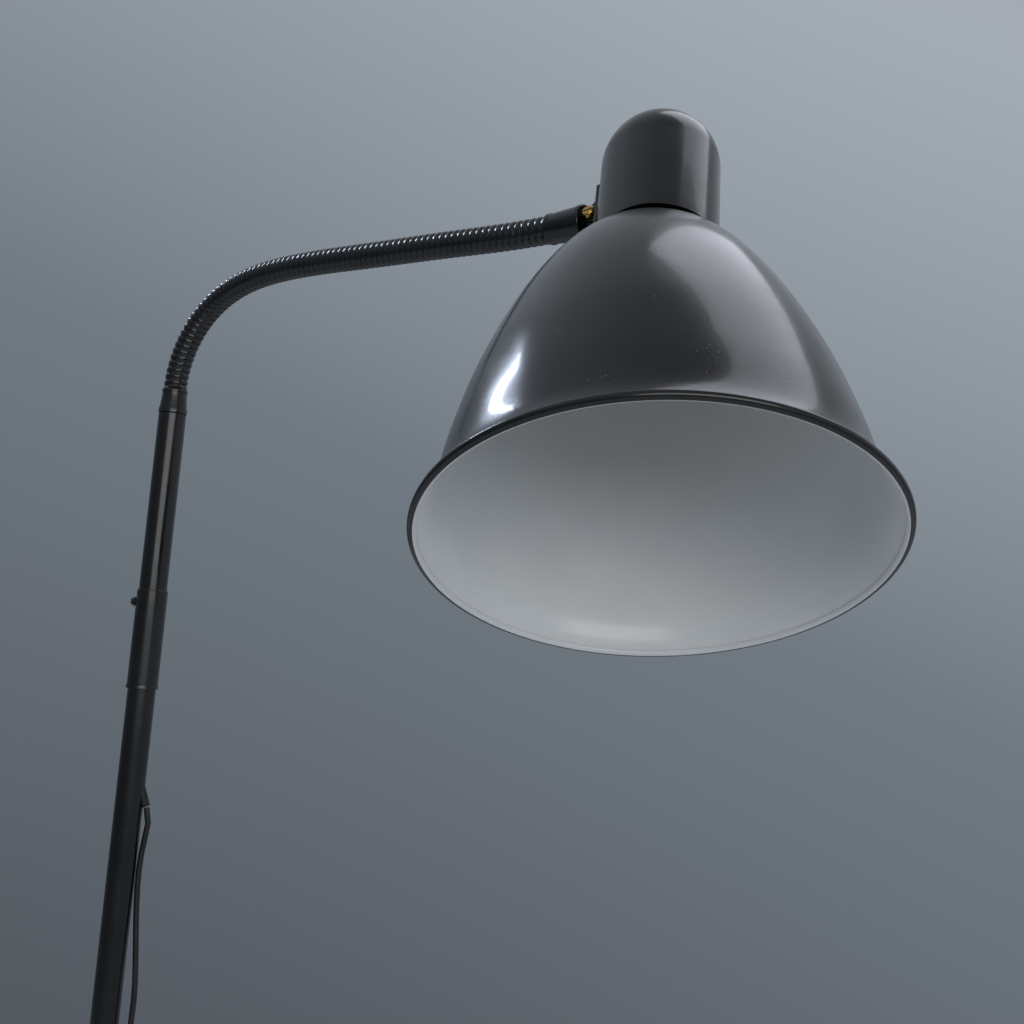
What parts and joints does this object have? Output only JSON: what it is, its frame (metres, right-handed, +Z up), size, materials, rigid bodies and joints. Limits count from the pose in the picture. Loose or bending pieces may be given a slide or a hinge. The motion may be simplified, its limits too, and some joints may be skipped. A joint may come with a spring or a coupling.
{
  "type": "gooseneck floor lamp",
  "caption": "Floor lamp with a weighted round base, steel pole, flexible arched hose arm and a tilting bell shade.",
  "frame": {"origin": "middle of the underside of the base, on the pole's axis", "axes": "+Z up along the pole, +X the way the arm reaches at rest"},
  "size_m": [0.5868, 0.2814, 1.4984],
  "materials": {
    "black_enamel": "gloss black stoved enamel",
    "hose_black": "semi-gloss black coated steel strip",
    "brass": "turned brass",
    "zinc_steel": "zinc-plated steel",
    "cast_iron": "sand-cast, primed",
    "bakelite": "moulded thermoset",
    "porcelain": "glazed",
    "black_rubber": "matt moulded",
    "felt": "needled felt",
    "cord_pvc": "extruded, slight sheen",
    "plug_pvc": "moulded, fine spark texture"
  },
  "bodies": {
    "stand": {"base_pad": "felt", "base_weight": "cast_iron", "base_cover": "black_enamel", "foot_washer": "zinc_steel", "foot_nut": "zinc_steel", "foot_stud": "zinc_steel", "foot_collar": "black_enamel", "lower_tube": "black_enamel", "cord_gland": "black_rubber", "pole_sleeve": "black_enamel", "pole_lead": "cord_pvc", "cord_drop": "cord_pvc", "switch_base": "plug_pvc", "switch_cover": "plug_pvc", "switch_screw": "zinc_steel", "cord_run": "cord_pvc", "cord_coil": "cord_pvc", "coil_tie": "black_rubber", "cord_tail": "cord_pvc", "plug_relief": "plug_pvc", "plug_body": "plug_pvc", "plug_pin_left": "brass", "plug_pin_right": "brass"},
    "clamp_screw": {"set_screw": "black_enamel"},
    "arm_root": {"upper_tube": "black_enamel", "pole_ferrule": "black_enamel", "hose_01": "hose_black"},
    "hose_link_2": {"hose_02": "hose_black"},
    "hose_link_3": {"hose_03": "hose_black"},
    "hose_link_4": {"hose_04": "hose_black"},
    "hose_link_5": {"hose_05": "hose_black"},
    "hose_link_6": {"hose_06": "hose_black"},
    "hose_link_7": {"hose_07": "hose_black"},
    "hose_link_8": {"hose_08": "hose_black"},
    "arm_tip": {"hose_09": "hose_black", "head_ferrule": "black_enamel"},
    "head_swivel": {"knuckle": "black_enamel", "swivel_washer": "brass"},
    "head": {"head_bracket": "black_enamel", "pivot_screw": "brass", "pivot_nut": "brass", "bracket_screw_upper": "brass", "bracket_screw_lower": "brass", "bracket_nut_upper": "brass", "bracket_nut_lower": "brass", "holder_strap": "zinc_steel", "holder_nipple": "zinc_steel", "holder_nut": "zinc_steel", "holder_body": "bakelite", "holder_insert": "porcelain", "thread_shell": "brass", "centre_contact": "brass", "shade_ring": "bakelite", "socket_cap": "black_enamel", "shade": "black_enamel"},
    "switch_key": {"switch_rocker": "plug_pvc"}
  },
  "joints": [
    {"name": "arm_turn", "type": "hinge", "parent": "stand", "child": "arm_root", "pos_m": [0, 0, 1.25], "axis": [0, 0, 1], "range_deg": [-170, 170]},
    {"name": "clamp_screw_turn", "type": "hinge", "parent": "stand", "child": "clamp_screw", "pos_m": [-0.00677, -0.00481, 1.252], "axis": [-0.8151, -0.5793, 0], "continuous": true},
    {"name": "hose_bend_1", "type": "hinge", "parent": "arm_root", "child": "hose_link_2", "pos_m": [0.00942, 0, 1.41115], "axis": [0, 1, 0], "range_deg": [-25, 15]},
    {"name": "hose_sway_1", "type": "hinge", "parent": "hose_link_2", "child": "hose_link_3", "pos_m": [0.03361, 0, 1.43308], "axis": [-0.4725, 0, 0.8813], "range_deg": [-20, 20]},
    {"name": "hose_bend_2", "type": "hinge", "parent": "hose_link_3", "child": "hose_link_4", "pos_m": [0.06491, 0, 1.44303], "axis": [0, 1, 0], "range_deg": [-25, 15]},
    {"name": "hose_sway_2", "type": "hinge", "parent": "hose_link_4", "child": "hose_link_5", "pos_m": [0.09778, 0, 1.44576], "axis": [-0.0327, 0, 0.9995], "range_deg": [-20, 20]},
    {"name": "hose_bend_3", "type": "hinge", "parent": "hose_link_5", "child": "hose_link_6", "pos_m": [0.13078, 0, 1.44602], "axis": [0, 1, 0], "range_deg": [-25, 15]},
    {"name": "hose_sway_3", "type": "hinge", "parent": "hose_link_6", "child": "hose_link_7", "pos_m": [0.16378, 0, 1.44586], "axis": [0.0013, 0, 1], "range_deg": [-20, 20]},
    {"name": "hose_bend_4", "type": "hinge", "parent": "hose_link_7", "child": "hose_link_8", "pos_m": [0.19678, 0, 1.44578], "axis": [0, 1, 0], "range_deg": [-25, 15]},
    {"name": "hose_sway_4", "type": "hinge", "parent": "hose_link_8", "child": "arm_tip", "pos_m": [0.22978, 0, 1.44547], "axis": [0.0043, 0, 1], "range_deg": [-20, 20]},
    {"name": "head_turn", "type": "hinge", "parent": "arm_tip", "child": "head_swivel", "pos_m": [0.26276, 0, 1.44612], "axis": [0.9986, 0, 0.0531], "range_deg": [-150, 150]},
    {"name": "head_tilt", "type": "hinge", "parent": "head_swivel", "child": "head", "pos_m": [0.28773, 0, 1.44745], "axis": [0.0224, 0.907, -0.4204], "range_deg": [-26, 50]},
    {"name": "switch_rock", "type": "hinge", "parent": "stand", "child": "switch_key", "pos_m": [0.204, 0.09, 0.011], "axis": [0, 1, 0], "range_deg": [0, 14]}
  ]
}
